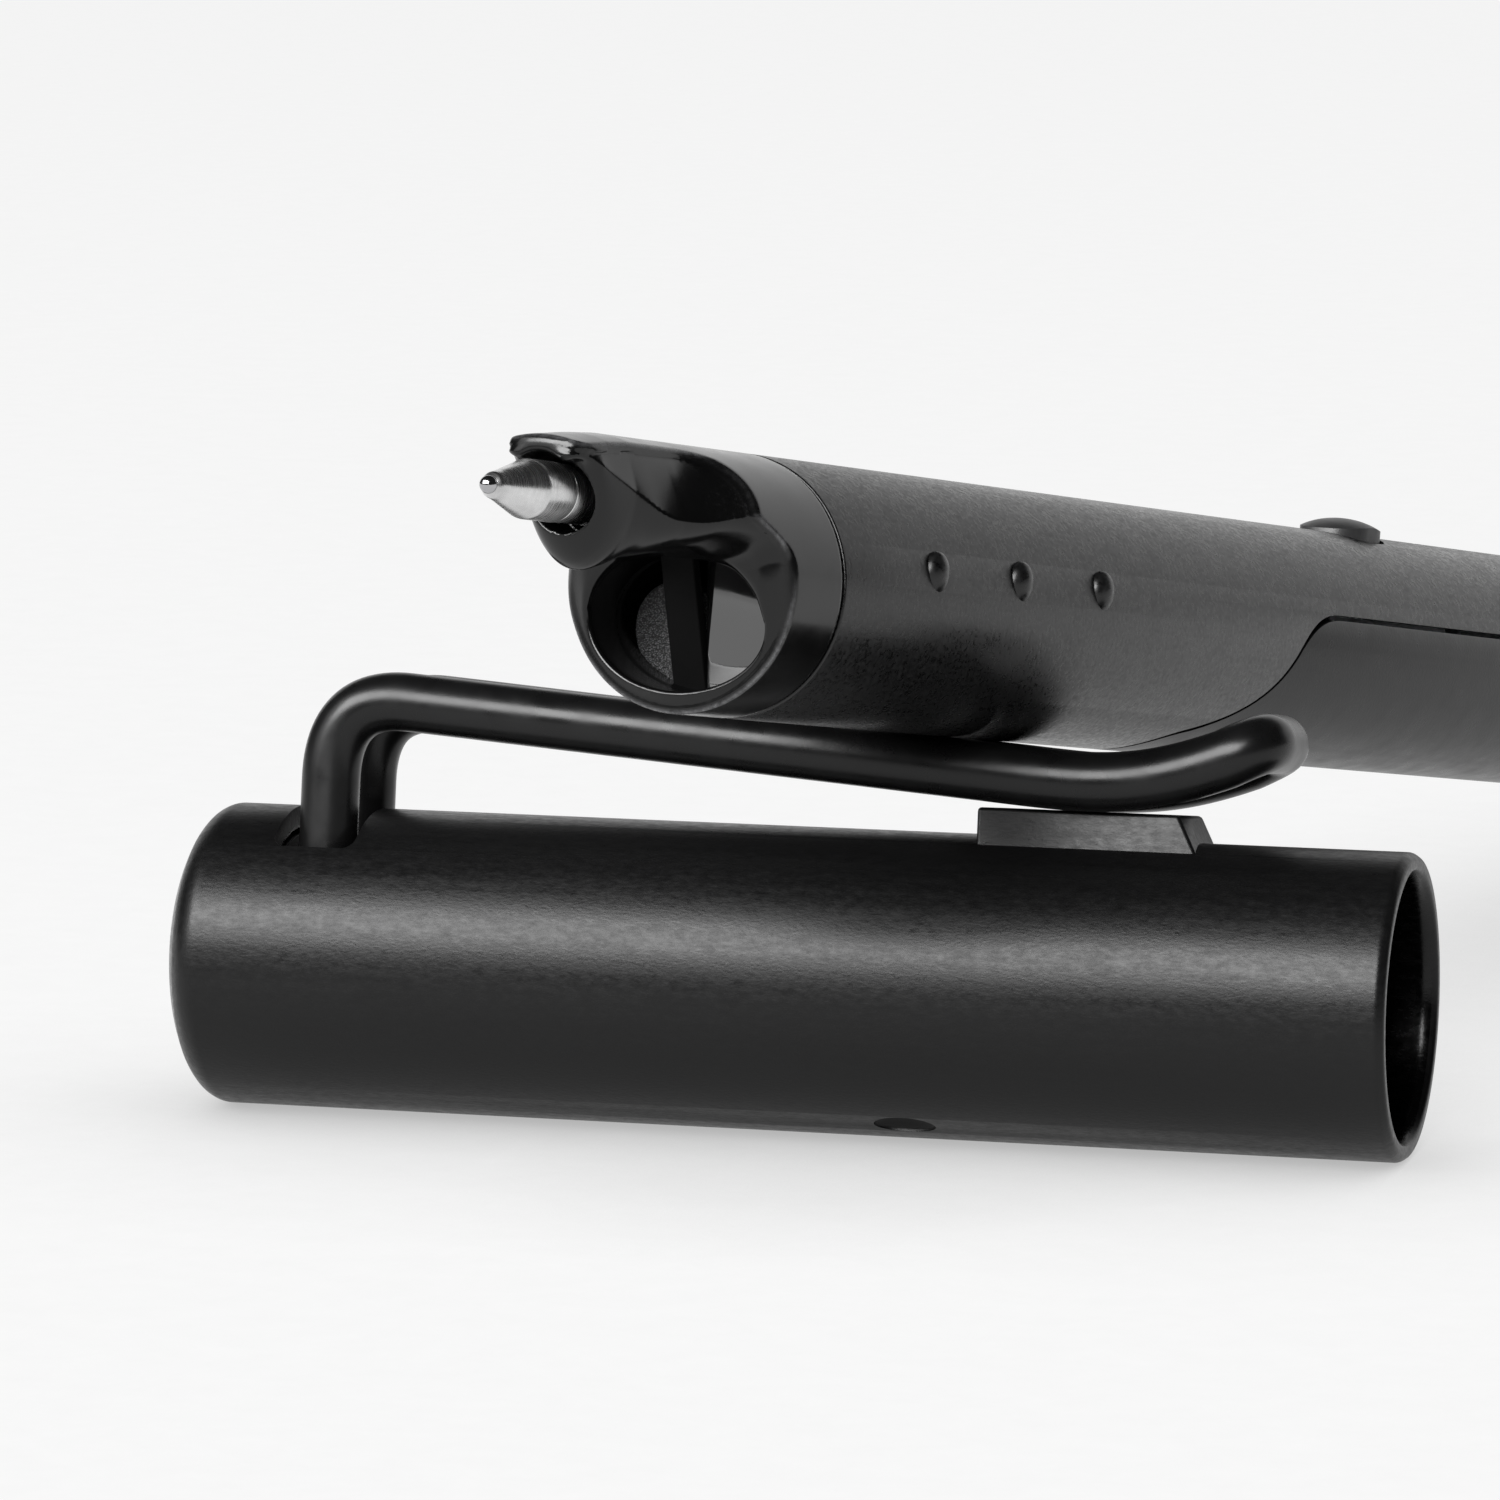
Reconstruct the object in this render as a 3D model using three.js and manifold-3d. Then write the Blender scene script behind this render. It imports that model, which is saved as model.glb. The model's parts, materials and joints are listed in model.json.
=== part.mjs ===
// Digital ballpoint pen with its cap off: the cap lies on a surface with its wire clip upwards,
// and the pen lies across the clip with its nose raised and its tail on the same surface.
// Millimetres, +Z up. The cap's axis runs along +X, from its closed end to its mouth.
import * as THREE from 'three';
import { mergeVertices } from 'three/addons/utils/BufferGeometryUtils.js';
import Module from 'manifold-3d';

const wasm = await Module();
wasm.setup();

// ---------------------------------------------------------------- driving dimensions

const GAP = 0.3;             // clearance between neighbouring pieces
const ROUND = 48;            // segments round the large tubes
const FINE = 20;             // segments round small round parts

// cap, measured from its mouth (u = 0) back to its closed end (negative u)
const CAP_R = 6.3;
const CAP_BORE = 5.4;
const CAP_LENGTH = 51.9;
const CAP_END_WALL = 2.5;
const CAP_BEVEL = 1.7;       // length of the rounded bevel at the closed end
const SLOT_FRONT = -43.9;
const SLOT_BACK = -47.4;
const SLOT_HALF = 4.3;
const SLOT_FLOOR = 1.8;
const PAD_BACK = -17.9;
const PAD_FRONT = -9.5;
const PAD_HALF = 2.3;
const PAD_TOP = 7.4;
const VENT_U = -20.3;
const VENT_ANGLE = 245;      // degrees from +Y round +X: low on the near side

// clip wire
const WIRE_R = 1.22;
const LEG_U = -45.5;
const LEG_Y = 2.5;
const LEG_FOOT = -2.0;

// pen, measured from the nose rim (u = 0) back to the tail
const PEN_R = 5.2;
const SHELL_BORE = 4.4;
const SEAM_U = 3.0;          // where the nose band meets the textured shell
const PEN_LENGTH = 120.6;
const TAIL_CAP = 3.2;
const HOOD_TIP = -11.6;
const REFILL_W = 2.77;       // height of the refill's axis above the pen's axis
const REFILL_R = 1.15;
const REFILL_TIP = -15.2;
const REFILL_END = 50.6;
const REFILL_CONE = 2.9;
const HOLE_R = 1.5;
const EYE_W = -1.5;          // centre height of the oval camera opening
const EYE_HALF_WIDTH = 3.9;
const EYE_HALF_HEIGHT = 2.7;
const OPTICS_TILT = 20;      // degrees that the optics lean back towards the bottom
const BUTTON_U = 54.8;
const BUTTON_LENGTH = 4.6;
const BUTTON_WIDTH = 3.8;
const BUTTON_PROUD = 0.7;

// how the pen lies on the clip
const CAP_ROLL = 9;          // degrees that the clip leans towards +Y
const PEN_TURN = 73.96;      // degrees from the cap's axis
const PEN_SLOPE = 9.58;      // degrees down towards the tail
const NOSE_X = -25.03;       // nose rim centre, from the cap's mouth centre
const NOSE_Y = -19.28;
const NOSE_Z = 25.3;         // above the surface

const rad = THREE.MathUtils.degToRad;

// ---------------------------------------------------------------- solids

function toSolid(geometry) {
  const bare = geometry.clone();
  bare.deleteAttribute('normal');
  bare.deleteAttribute('uv');
  const merged = mergeVertices(bare, 1e-4);
  const mesh = new wasm.Mesh({
    numProp: 3,
    vertProperties: new Float32Array(merged.attributes.position.array),
    triVerts: new Uint32Array(merged.index.array),
  });
  mesh.merge();
  return new wasm.Manifold(mesh);
}

function toGeometry(solid) {
  const mesh = solid.getMesh();
  const geometry = new THREE.BufferGeometry();
  geometry.setAttribute('position', new THREE.BufferAttribute(mesh.vertProperties, 3));
  geometry.setIndex(new THREE.BufferAttribute(mesh.triVerts, 1));
  geometry.computeVertexNormals();
  return geometry;
}

// joins the first list, then cuts away the second
function carve(parts, cuts = []) {
  let solid = toSolid(parts[0]);
  for (const part of parts.slice(1)) solid = solid.add(toSolid(part));
  for (const cut of cuts) solid = solid.subtract(toSolid(cut));
  return toGeometry(solid);
}

function overlapOf(first, second) {
  return toGeometry(toSolid(first).intersect(toSolid(second)));
}

// ---------------------------------------------------------------- shapes, all along local X

// a round bar from x = from to x = to
function bar(from, to, radius, y = 0, z = 0, segments = FINE) {
  const geometry = new THREE.CylinderGeometry(radius, radius, to - from, segments);
  geometry.rotateZ(-Math.PI / 2);
  geometry.translate((from + to) / 2, y, z);
  return geometry;
}

function block(x0, x1, y0, y1, z0, z1) {
  const geometry = new THREE.BoxGeometry(x1 - x0, y1 - y0, z1 - z0);
  geometry.translate((x0 + x1) / 2, (y0 + y1) / 2, (z0 + z1) / 2);
  return geometry;
}

// a turned solid: the profile lists [x, radius] from low x to high x, starting and ending on the axis
function turned(profile, segments = ROUND, y = 0, z = 0) {
  const points = profile.map(([x, radius]) => new THREE.Vector2(radius, x));
  const geometry = new THREE.LatheGeometry(points, segments);
  geometry.rotateZ(-Math.PI / 2);
  geometry.translate(0, y, z);
  return geometry;
}

// a turned ring: a closed profile that doesn't touch the axis
function ring(x0, x1, outer, inner, segments = ROUND, y = 0, z = 0) {
  return turned([[x0, inner], [x0, outer], [x1, outer], [x1, inner], [x0, inner]], segments, y, z);
}

// an outline in the X-Z plane, pushed out to both sides of Y = 0
function slab(outline, halfWidth) {
  const shape = new THREE.Shape(outline.map(([x, z]) => new THREE.Vector2(x, z)));
  const geometry = new THREE.ExtrudeGeometry(shape, { depth: 2 * halfWidth, bevelEnabled: false });
  geometry.translate(0, 0, -halfWidth);
  geometry.rotateX(Math.PI / 2);
  return geometry;
}

// an upright bar with an oval outline, long along X
function ovalBar(x, length, width, z0, z1) {
  const radius = width / 2;
  const reach = (length - width) / 2;
  const shape = new THREE.Shape();
  shape.absarc(reach, 0, radius, -Math.PI / 2, Math.PI / 2, false);
  shape.absarc(-reach, 0, radius, Math.PI / 2, 1.5 * Math.PI, false);
  const geometry = new THREE.ExtrudeGeometry(shape, { depth: z1 - z0, bevelEnabled: false, curveSegments: 8 });
  geometry.translate(x, 0, z0);
  return geometry;
}

// a body of changing section: section(x, angle) gives [y, z] for each station
function loft(stations, section, centre, segments = 40) {
  const steps = stations.length - 1;
  const geometry = new THREE.CylinderGeometry(1, 1, 1, segments, steps);
  geometry.rotateZ(-Math.PI / 2);
  const position = geometry.attributes.position;
  for (let i = 0; i < position.count; i += 1) {
    const station = stations[Math.round((position.getX(i) + 0.5) * steps)];
    const y = position.getY(i);
    const z = position.getZ(i);
    if (Math.hypot(y, z) < 0.5) {
      position.setXYZ(i, station, 0, centre);
    } else {
      const [sectionY, sectionZ] = section(station, Math.atan2(z, y));
      position.setXYZ(i, station, sectionY, sectionZ);
    }
  }
  return geometry;
}

// ---------------------------------------------------------------- materials

function finish(color, roughness, metalness) {
  return new THREE.MeshStandardMaterial({ color, roughness, metalness });
}

const anodised = finish('#1c1d1f', 0.45, 0.6);
const wireBlack = finish('#141416', 0.2, 0.5);
const glossBlack = finish('#101012', 0.15, 0.0);
const mattBlack = finish('#1d1e20', 0.7, 0.0);
const satinBlack = finish('#232426', 0.5, 0.0);
const innerPlastic = finish('#2b2c2e', 0.6, 0.0);
const steel = finish('#c9cacc', 0.25, 1.0);
const carbide = finish('#8d8f92', 0.15, 1.0);
const darkGlass = finish('#08080b', 0.05, 0.0);
const diffuserGrey = finish('#3a3b3e', 0.8, 0.0);
const boardGreen = finish('#1f4a33', 0.5, 0.1);
const chipBlack = finish('#18181a', 0.45, 0.0);
const batterySilver = finish('#a8abb0', 0.35, 0.8);
const softSilicone = finish('#3b3c3f', 0.9, 0.0);

const root = new THREE.Group();
const cap = new THREE.Group();
const pen = new THREE.Group();

function add(group, name, geometry, material) {
  const mesh = new THREE.Mesh(geometry, material);
  mesh.name = name;
  group.add(mesh);
  return mesh;
}

// ---------------------------------------------------------------- cap

// closed end: a rounded bevel round a small flat face
function capProfile() {
  const end = -CAP_LENGTH;
  return [
    [end, 0],
    [end, 3.4],
    [end + 0.35, 4.7],
    [end + 0.8, 5.6],
    [end + 1.2, 6.05],
    [end + CAP_BEVEL, CAP_R],
    [-0.25, CAP_R],
    [0, CAP_R - 0.2],
    [0, 0],
  ];
}

function capShell() {
  const bore = turned([
    [-CAP_LENGTH + CAP_END_WALL, 0],
    [-CAP_LENGTH + CAP_END_WALL, CAP_BORE],
    [-0.3, CAP_BORE],
    [0.1, CAP_BORE + 0.3],
    [0.1, 0],
  ]);
  const slot = block(SLOT_BACK, SLOT_FRONT, -SLOT_HALF, SLOT_HALF, SLOT_FLOOR + GAP, 10);
  const pad = slab([
    [PAD_BACK, CAP_R - 1.2],
    [PAD_BACK, PAD_TOP],
    [PAD_FRONT, PAD_TOP],
    [PAD_FRONT + 1.1, CAP_R - 1.2],
  ], PAD_HALF);
  const vent = new THREE.SphereGeometry(1, 16, 8);
  vent.scale(1.3, 0.7, 0.5);
  vent.rotateX(rad(VENT_ANGLE - 90));
  const around = rad(VENT_ANGLE);
  vent.translate(VENT_U, CAP_R * Math.cos(around), CAP_R * Math.sin(around));
  return carve([turned(capProfile()), pad], [bore, slot, vent]);
}

add(cap, 'cap_shell', capShell(), anodised);

// moulded plug in the closed end that holds the feet of the clip wire
function clipAnchor() {
  const front = -41.6;
  const back = -CAP_LENGTH + CAP_END_WALL + GAP;
  const body = bar(back, front, CAP_BORE - GAP, 0, 0, ROUND);
  const cuts = [block(SLOT_BACK, SLOT_FRONT, -SLOT_HALF, SLOT_HALF, SLOT_FLOOR, 8)];
  for (const side of [-1, 1]) {
    const hole = new THREE.CylinderGeometry(WIRE_R + GAP, WIRE_R + GAP, 6, FINE);
    hole.rotateX(Math.PI / 2);
    hole.translate(LEG_U, side * LEG_Y, LEG_FOOT - GAP + 3);
    cuts.push(hole);
  }
  cuts.push(bar(front - 1.4, front + 1, 1.55));
  cuts.push(bar(back - 1, front, 0.75, 0, 0, 12));
  return carve([body], cuts);
}

add(cap, 'clip_anchor', clipAnchor(), innerPlastic);
add(cap, 'anchor_screw', carve([
  bar(-43.0 + GAP, -41.8, 1.25),
  bar(-48.7, -42.6, 0.5, 0, 0, 12),
], [block(-42.2, -41, -0.25, 0.25, -0.9, 0.9)]), steel);
add(cap, 'nose_stop_ring', ring(-41.3, -38.2, CAP_BORE - GAP, 3.4), softSilicone);

// ---------------------------------------------------------------- clip

// one round wire: foot, leg, bend, long sloping run, low point over the pad, raised closed end
function clipPath() {
  const bend = 3.3;
  const topZ = 10.75;
  const dipZ = 8.86;
  const dipStart = -17.5;
  const endU = -6.2;
  const endZ = 10.45;
  const corner = 1.4;
  const point = (x, side, z) => new THREE.Vector3(x, side * LEG_Y, z);
  const side = (sign) => [
    new THREE.LineCurve3(point(LEG_U, sign, LEG_FOOT), point(LEG_U, sign, topZ - bend)),
    new THREE.QuadraticBezierCurve3(point(LEG_U, sign, topZ - bend), point(LEG_U, sign, topZ + 0.25),
      point(LEG_U + bend, sign, topZ)),
    new THREE.LineCurve3(point(LEG_U + bend, sign, topZ), point(dipStart, sign, dipZ)),
    new THREE.CubicBezierCurve3(point(dipStart, sign, dipZ), point(dipStart + 4.2, sign, dipZ - 0.33),
      point(endU - 5.2, sign, endZ - 2.15), point(endU - corner, sign, endZ - 0.7)),
  ];
  const near = side(-1);
  const far = side(1).reverse();
  const path = new THREE.CurvePath();
  near.forEach((curve) => path.add(curve));
  const edge = LEG_Y - corner;
  const tip = (y) => new THREE.Vector3(endU, y, endZ);
  path.add(new THREE.QuadraticBezierCurve3(point(endU - corner, -1, endZ - 0.7), point(endU, -1, endZ), tip(-edge)));
  path.add(new THREE.LineCurve3(tip(-edge), tip(edge)));
  path.add(new THREE.QuadraticBezierCurve3(tip(edge), point(endU, 1, endZ), point(endU - corner, 1, endZ - 0.7)));
  const reversed = (curve) => {
    if (curve.isLineCurve3) return new THREE.LineCurve3(curve.v2, curve.v1);
    if (curve.isQuadraticBezierCurve3) return new THREE.QuadraticBezierCurve3(curve.v2, curve.v1, curve.v0);
    return new THREE.CubicBezierCurve3(curve.v3, curve.v2, curve.v1, curve.v0);
  };
  far.forEach((curve) => path.add(reversed(curve)));
  return path;
}

function clipWire() {
  const section = new THREE.Shape();
  section.absarc(0, 0, WIRE_R, 0, 2 * Math.PI, false);
  return new THREE.ExtrudeGeometry(section, {
    extrudePath: clipPath(),
    steps: 92,
    curveSegments: 6,
    bevelEnabled: false,
  });
}

add(cap, 'clip_wire', toGeometry(toSolid(clipWire())), wireBlack);

// ---------------------------------------------------------------- nose

// the hood over the refill: a narrow ridge on top whose flanks spread out towards the rim
function hoodRidge(u) {
  const run = Math.min(Math.max((u + 6) / 6, 0), 1);
  const tip = Math.min(Math.max((-10.9 - u) / 2.85, 0), 1);
  return (1.95 + 3.0 * (1 - Math.sqrt(1 - run * run))) * Math.sqrt(1 - tip * tip);
}

function hoodBase(u) {
  const spread = Math.max(5.25 + 0.41 * u, 0);
  const tip = Math.min(Math.max((-10.9 - u) / 2.85, 0), 1);
  return Math.hypot(spread, 1.0) * 0.62 + 0.38 * Math.max(spread, 2.0) + 0.55 * (1 - tip) * Math.max(0, 1 - spread / 3);
}

// section of the hood, from a wide rounded underside up to the narrow ridge
function hoodSection(u, angle) {
  const low = -0.2;
  const high = 6.2;
  const middle = (low + high) / 2;
  const half = (high - low) / 2;
  const z = middle + half * Math.sin(angle);
  const climb = Math.min(Math.max((z - 1.2) / 3.4, 0), 1);
  const width = hoodBase(u) + (hoodRidge(u) - hoodBase(u)) * climb;
  const roundness = Math.min(Math.abs(Math.cos(angle)) * 2.4, 1);
  return [Math.sign(Math.cos(angle)) * width * Math.sqrt(roundness), z];
}

function hood() {
  const stations = [];
  for (let i = 0; i <= 16; i += 1) stations.push(HOOD_TIP + (0.6 - HOOD_TIP) * (i / 16));
  const body = loft(stations, hoodSection, 3, 36);
  const envelope = turned([
    [HOOD_TIP - 0.2, 0],
    [HOOD_TIP - 0.2, 4.5],
    [HOOD_TIP + 0.3, 4.85],
    [-10, 5.12],
    [-8, PEN_R],
    [0.6, PEN_R],
    [0.6, 0],
  ]);
  // everything below the visor and in front of the chin is open
  const chin = slab([
    [-16, -3],
    [-16, 4.0],
    [-10.6, 3.95],
    [-9.6, 1.9],
    [-9.2, 1.2],
    [-8.4, 0.6],
    [-7.0, 0.15],
    [-5.0, -0.05],
    [-5.0, -3],
  ], 8);
  return toGeometry(toSolid(body).intersect(toSolid(envelope)).subtract(toSolid(chin)));
}

// an oval bar along X that matches the camera opening, scaled about its centre
function eyeBar(from, to, grow, growEnd = grow) {
  const geometry = new THREE.CylinderGeometry(1 + growEnd, 1 + grow, to - from, 40);
  geometry.rotateZ(-Math.PI / 2);
  geometry.scale(1, EYE_HALF_WIDTH, EYE_HALF_HEIGHT);
  geometry.translate((from + to) / 2, 0, EYE_W);
  return geometry;
}

function noseCone() {
  const band = turned([
    [0, 0],
    [0, PEN_R - 0.25],
    [0.25, PEN_R],
    [SEAM_U, PEN_R],
    [SEAM_U, SHELL_BORE - GAP],
    [9, SHELL_BORE - GAP],
    [9, 0],
  ]);
  const cuts = [
    eyeBar(-16, 1.2, 0),
    eyeBar(1.1, 9.5, -0.12),
    eyeBar(-0.05, 0.55, 0.1, 0),
    bar(-16, -7.5, HOLE_R, 0, REFILL_W),
    bar(-8, 9.5, REFILL_R + 0.17, 0, REFILL_W),
  ];
  return carve([band, hood()], cuts);
}

add(pen, 'nose_cone', noseCone(), glossBlack);

// optics behind the opening: tilted so that their lower edge sits deeper in the pen
function tilted(geometry, u, z) {
  geometry.rotateY(rad(-OPTICS_TILT));
  geometry.translate(u, 0, z);
  return geometry;
}

add(pen, 'light_baffle', tilted(block(-0.25, 0.25, 0.2, 1.4, -1.9, 1.9), 1.3, EYE_W), mattBlack);
add(pen, 'diffuser_disc', tilted(bar(1.1, 1.7, 1.5, 1.45, -0.45, 24), 1.7, EYE_W), diffuserGrey);
add(pen, 'camera_window', tilted(block(1.5, 2.2, -2.5, -0.25, -2.0, 0.75), 1.7, EYE_W), darkGlass);
add(pen, 'infrared_emitter', carve([
  bar(5.2, 7.6, 1.0, 1.7, EYE_W),
  bar(7.4, 8.2, 1.25, 1.7, EYE_W),
]), chipBlack);
add(pen, 'camera_lens', turned([
  [5.3, 0],
  [5.45, 0.6],
  [5.9, 1.0],
  [6.4, 1.0],
  [6.4, 0],
], FINE, -1.35, EYE_W), darkGlass);
add(pen, 'lens_barrel', ring(5.2, 8.2, 1.65, 1.3, 24, -1.35, EYE_W), mattBlack);
add(pen, 'image_sensor', block(8.5, 9.3, -2.75, 0.05, -2.9, -0.1), chipBlack);
add(pen, 'sensor_board', carve([bar(9.6, 10.4, SHELL_BORE - 2 * GAP, 0, 0, 32)],
  [block(9, 11, -5, 5, 1.0, 5)]), boardGreen);

// ---------------------------------------------------------------- body shells

// side view of the lower cover's outline: its front edge climbs from the underside to a straight seam
const COVER_TOP = 1.42;
const COVER_FRONT = 31.5;

function coverRegion(shrink) {
  const shape = new THREE.Shape();
  const top = COVER_TOP - shrink;
  shape.moveTo(COVER_FRONT + shrink, -7);
  shape.quadraticCurveTo(33.6 + shrink, -4.6, 36 + shrink, -4.0 - shrink / 2);
  shape.bezierCurveTo(39.6 + shrink, -3.0, 40.6 + shrink, -1.8, 42 + shrink, -0.2);
  shape.quadraticCurveTo(43.4 + shrink, top, 45.6 + shrink, top);
  shape.lineTo(PEN_LENGTH - TAIL_CAP - 4 - shrink, top);
  shape.lineTo(PEN_LENGTH - TAIL_CAP - 4 - shrink, -7);
  shape.closePath();
  const geometry = new THREE.ExtrudeGeometry(shape, { depth: 16, bevelEnabled: false, curveSegments: 6 });
  geometry.translate(0, 0, -8);
  geometry.rotateX(Math.PI / 2);
  return geometry;
}

const SHELL_START = SEAM_U + 0.15;
const SHELL_END = PEN_LENGTH - TAIL_CAP;

function shellTube() {
  return ring(SHELL_START, SHELL_END, PEN_R, SHELL_BORE);
}

function upperShell() {
  const solids = [shellTube()];
  for (const side of [-1, 1]) {
    for (const u of [10.55, 17.4, 24.25]) {
      const pip = new THREE.SphereGeometry(0.72, 14, 8);
      pip.scale(1, 0.5, 1);
      pip.translate(u, side * (PEN_R - 0.16), 1.25);
      solids.push(pip);
    }
  }
  return carve(solids, [
    coverRegion(0),
    ovalBar(BUTTON_U, BUTTON_LENGTH, BUTTON_WIDTH, 0, 8),
    new THREE.CylinderGeometry(0.75, 0.75, 8, 16).rotateX(Math.PI / 2).translate(61.5, 0, 5),
  ]);
}

add(pen, 'upper_shell', upperShell(), mattBlack);
add(pen, 'lower_cover', overlapOf(shellTube(), coverRegion(0.25)), satinBlack);

// tail: a plug with the charging socket in its end
function tailCap() {
  const start = SHELL_END + 0.15;
  const body = turned([
    [start - 6, 0],
    [start - 6, SHELL_BORE - GAP],
    [start, SHELL_BORE - GAP],
    [start, PEN_R],
    [PEN_LENGTH - 0.9, PEN_R],
    [PEN_LENGTH - 0.25, PEN_R - 0.3],
    [PEN_LENGTH, PEN_R - 0.9],
    [PEN_LENGTH, 0],
  ]);
  return carve([body], [block(start - 7, PEN_LENGTH + 1, -3.3, 3.3, -1.1, 1.1)]);
}

add(pen, 'tail_cap', tailCap(), glossBlack);
add(pen, 'charging_socket', carve(
  [block(PEN_LENGTH - 6.2, PEN_LENGTH - 0.4, -3.0, 3.0, -0.8, 0.8)],
  [block(PEN_LENGTH - 5.6, PEN_LENGTH + 1, -2.7, 2.7, -0.5, 0.5)],
), steel);

// ---------------------------------------------------------------- inside the body

add(pen, 'board_tray', carve([bar(12, 46, SHELL_BORE - GAP, 0, 0, 32)], [
  block(11, 47, -5, 5, -1.5, 5),
  bar(13, 45, SHELL_BORE - GAP - 0.8, 0, 0, 32),
  bar(46.5, 50, 0.7, 0, -2.4, 12),
]), innerPlastic);
add(pen, 'main_board', block(12, 52, -3.5, 3.5, -1.2, -0.5), boardGreen);
add(pen, 'processor_chip', block(17, 22, -2.5, 2.5, -0.2, 0.7), chipBlack);
add(pen, 'memory_chip', block(26, 30, -2, 2, -0.2, 0.6), chipBlack);
add(pen, 'radio_chip', block(33, 36.5, -1.75, 1.75, -0.2, 0.6), chipBlack);
add(pen, 'chip_antenna', block(40, 42, -2.6, 2.6, -0.2, 0.8), diffuserGrey);
add(pen, 'battery', turned([
  [60, 0],
  [60, 3.3],
  [60.5, 3.75],
  [99.5, 3.75],
  [100, 3.3],
  [100, 0],
], 32), batterySilver);
add(pen, 'power_board', block(101, 111.2, -3.4, 3.4, -2.1, -1.4), boardGreen);
add(pen, 'charger_chip', block(104, 107, -1.5, 1.5, -1.1, -0.2), chipBlack);
add(pen, 'button_switch', block(BUTTON_U - 1.5, BUTTON_U + 2.2, -1.5, 1.5, 2.2, 3.6), chipBlack);

// status light: a short upright pin that ends flush with the shell
const statusPin = bar(61, 62, 0.45);
statusPin.rotateY(-Math.PI / 2);
statusPin.scale(1, 1, 1.1);
statusPin.translate(61.5, 0, -63.1);
add(pen, 'status_light', statusPin, diffuserGrey);

add(pen, 'force_sensor', bar(51.9, 52.5, 1.1, 0, 1.2, 16), steel);

// ---------------------------------------------------------------- pieces that move in the pen

// power button: a low dome in an oval hole
function powerButton() {
  const stem = ovalBar(BUTTON_U, BUTTON_LENGTH - 2 * GAP, BUTTON_WIDTH - 2 * GAP, 4.1, 6.4);
  const dome = new THREE.SphereGeometry(1, 24, 16);
  dome.scale(BUTTON_LENGTH * 0.62, BUTTON_WIDTH * 0.72, 1.9);
  dome.translate(BUTTON_U, 0, PEN_R + BUTTON_PROUD - 1.9);
  return overlapOf(stem, dome);
}

add(pen, 'power_button', powerButton(), satinBlack);

// carrier that holds the refill's end and passes the writing force on; open along its top
add(pen, 'refill_carrier', carve([overlapOf(
  bar(44, REFILL_END + 0.9, 2.0, 0, REFILL_W, 24),
  bar(40, 60, SHELL_BORE - GAP, 0, 0, 32),
)], [bar(43, REFILL_END + GAP, REFILL_R + 0.2, 0, REFILL_W), block(43, REFILL_END + GAP, -0.9, 0.9, REFILL_W, 6)]),
innerPlastic);

// refill: ball, tip cone and tube
const coneEnd = REFILL_TIP + REFILL_CONE;
add(pen, 'refill_ball', new THREE.SphereGeometry(0.35, 14, 10).translate(REFILL_TIP + 0.35, 0, REFILL_W), carbide);
add(pen, 'refill_tip', turned([
  [REFILL_TIP + 0.95, 0],
  [REFILL_TIP + 0.95, 0.2],
  [REFILL_TIP + 0.55, 0.55],
  [coneEnd, REFILL_R],
  [coneEnd + 2, REFILL_R],
  [coneEnd + 2, 0.6],
  [coneEnd + 5, 0.6],
  [coneEnd + 5, 0],
], 24, 0, REFILL_W), steel);
add(pen, 'refill_tube', turned([
  [coneEnd + 2 + 0.15, 0.8],
  [coneEnd + 2 + 0.15, REFILL_R],
  [REFILL_END, REFILL_R],
  [REFILL_END, 0.8],
  [coneEnd + 2 + 0.15, 0.8],
], 24, 0, REFILL_W), steel);

// ---------------------------------------------------------------- placing

cap.position.set(0, 0, CAP_R);
cap.rotation.x = rad(-CAP_ROLL);
pen.rotation.order = 'ZYX';
pen.rotation.set(0, rad(PEN_SLOPE), rad(PEN_TURN));
pen.position.set(NOSE_X, NOSE_Y, NOSE_Z);
root.add(cap, pen);

// the origin is the middle of the whole object's footprint, at the surface
const box = new THREE.Box3().setFromObject(root, true);
const group = new THREE.Group();
root.position.set(-(box.min.x + box.max.x) / 2, -(box.min.y + box.max.y) / 2, -box.min.z);
group.add(root);

export default group;
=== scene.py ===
"""Looks of a digital ballpoint pen that lies uncapped across the wire clip of its cap."""
import json
import math

import bmesh
import bpy
import numpy as np
from mathutils import Matrix, Vector


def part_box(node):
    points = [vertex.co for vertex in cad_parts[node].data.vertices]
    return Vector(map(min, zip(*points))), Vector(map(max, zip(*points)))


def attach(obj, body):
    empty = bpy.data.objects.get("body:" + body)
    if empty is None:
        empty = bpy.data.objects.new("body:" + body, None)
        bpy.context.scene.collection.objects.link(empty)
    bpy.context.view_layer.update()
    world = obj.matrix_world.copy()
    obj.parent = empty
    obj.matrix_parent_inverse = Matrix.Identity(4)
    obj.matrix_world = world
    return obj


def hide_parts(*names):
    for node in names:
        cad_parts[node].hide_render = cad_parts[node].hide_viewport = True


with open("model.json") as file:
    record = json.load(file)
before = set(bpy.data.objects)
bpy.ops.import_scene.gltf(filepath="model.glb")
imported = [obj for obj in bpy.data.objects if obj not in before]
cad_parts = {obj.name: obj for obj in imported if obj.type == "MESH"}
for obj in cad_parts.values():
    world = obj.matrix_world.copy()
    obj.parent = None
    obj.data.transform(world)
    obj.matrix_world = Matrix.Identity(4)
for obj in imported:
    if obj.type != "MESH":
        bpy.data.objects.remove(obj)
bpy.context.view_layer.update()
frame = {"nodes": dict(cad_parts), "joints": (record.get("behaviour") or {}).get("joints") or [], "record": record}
record = frame["record"]

MM = 0.001

# ---------------------------------------------------------------- sizes, in millimetres

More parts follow.
